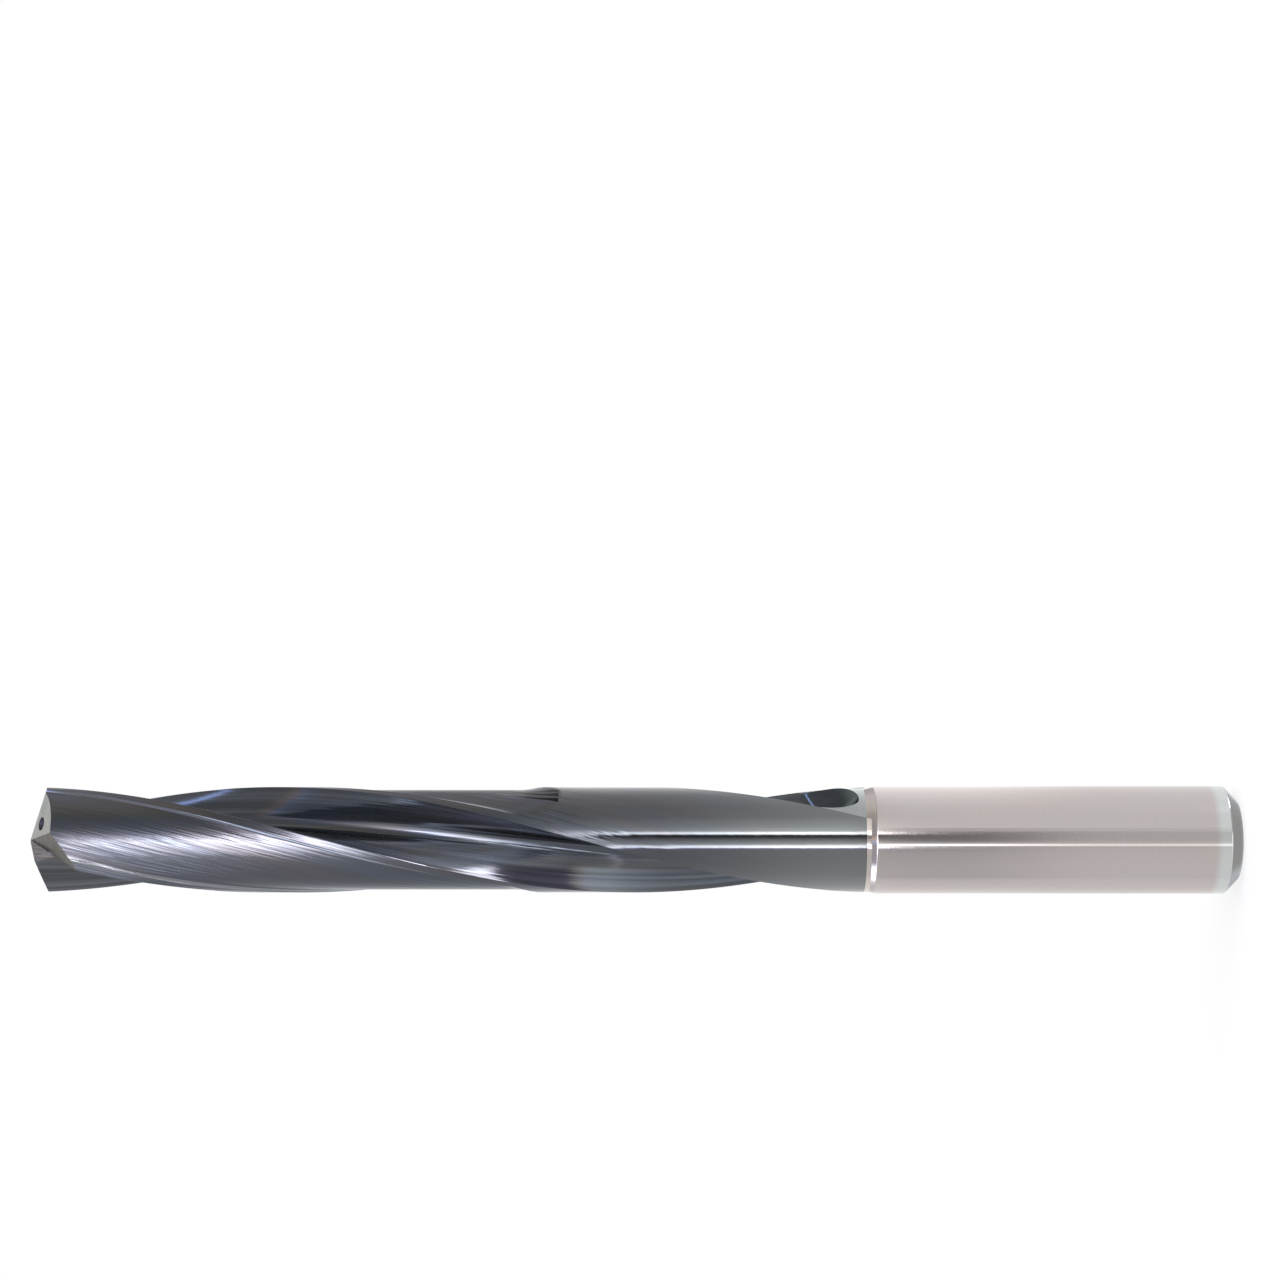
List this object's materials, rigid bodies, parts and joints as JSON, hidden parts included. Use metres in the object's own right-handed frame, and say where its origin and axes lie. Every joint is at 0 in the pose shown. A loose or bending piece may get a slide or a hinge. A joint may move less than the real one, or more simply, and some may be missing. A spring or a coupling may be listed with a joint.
{
  "type": "coolant-fed carbide drill",
  "caption": "Solid carbide twist drill with helical coolant ducts, a split point, margined lands and a plain cylindrical shank.",
  "frame": {"origin": "centre of the flat end face of the shank, which the drill stands on", "axes": "+Z along the drill's axis from the shank to the point; a side view along +Y shows the drill as the picture's side view does"},
  "size_m": [0.012, 0.012, 0.134],
  "materials": {
    "carbide": "ground carbide, with a dark grey hard coating on the fluted part and bare metal on the shank"
  },
  "bodies": {
    "root": {"drill": "carbide"}
  },
  "joints": []
}
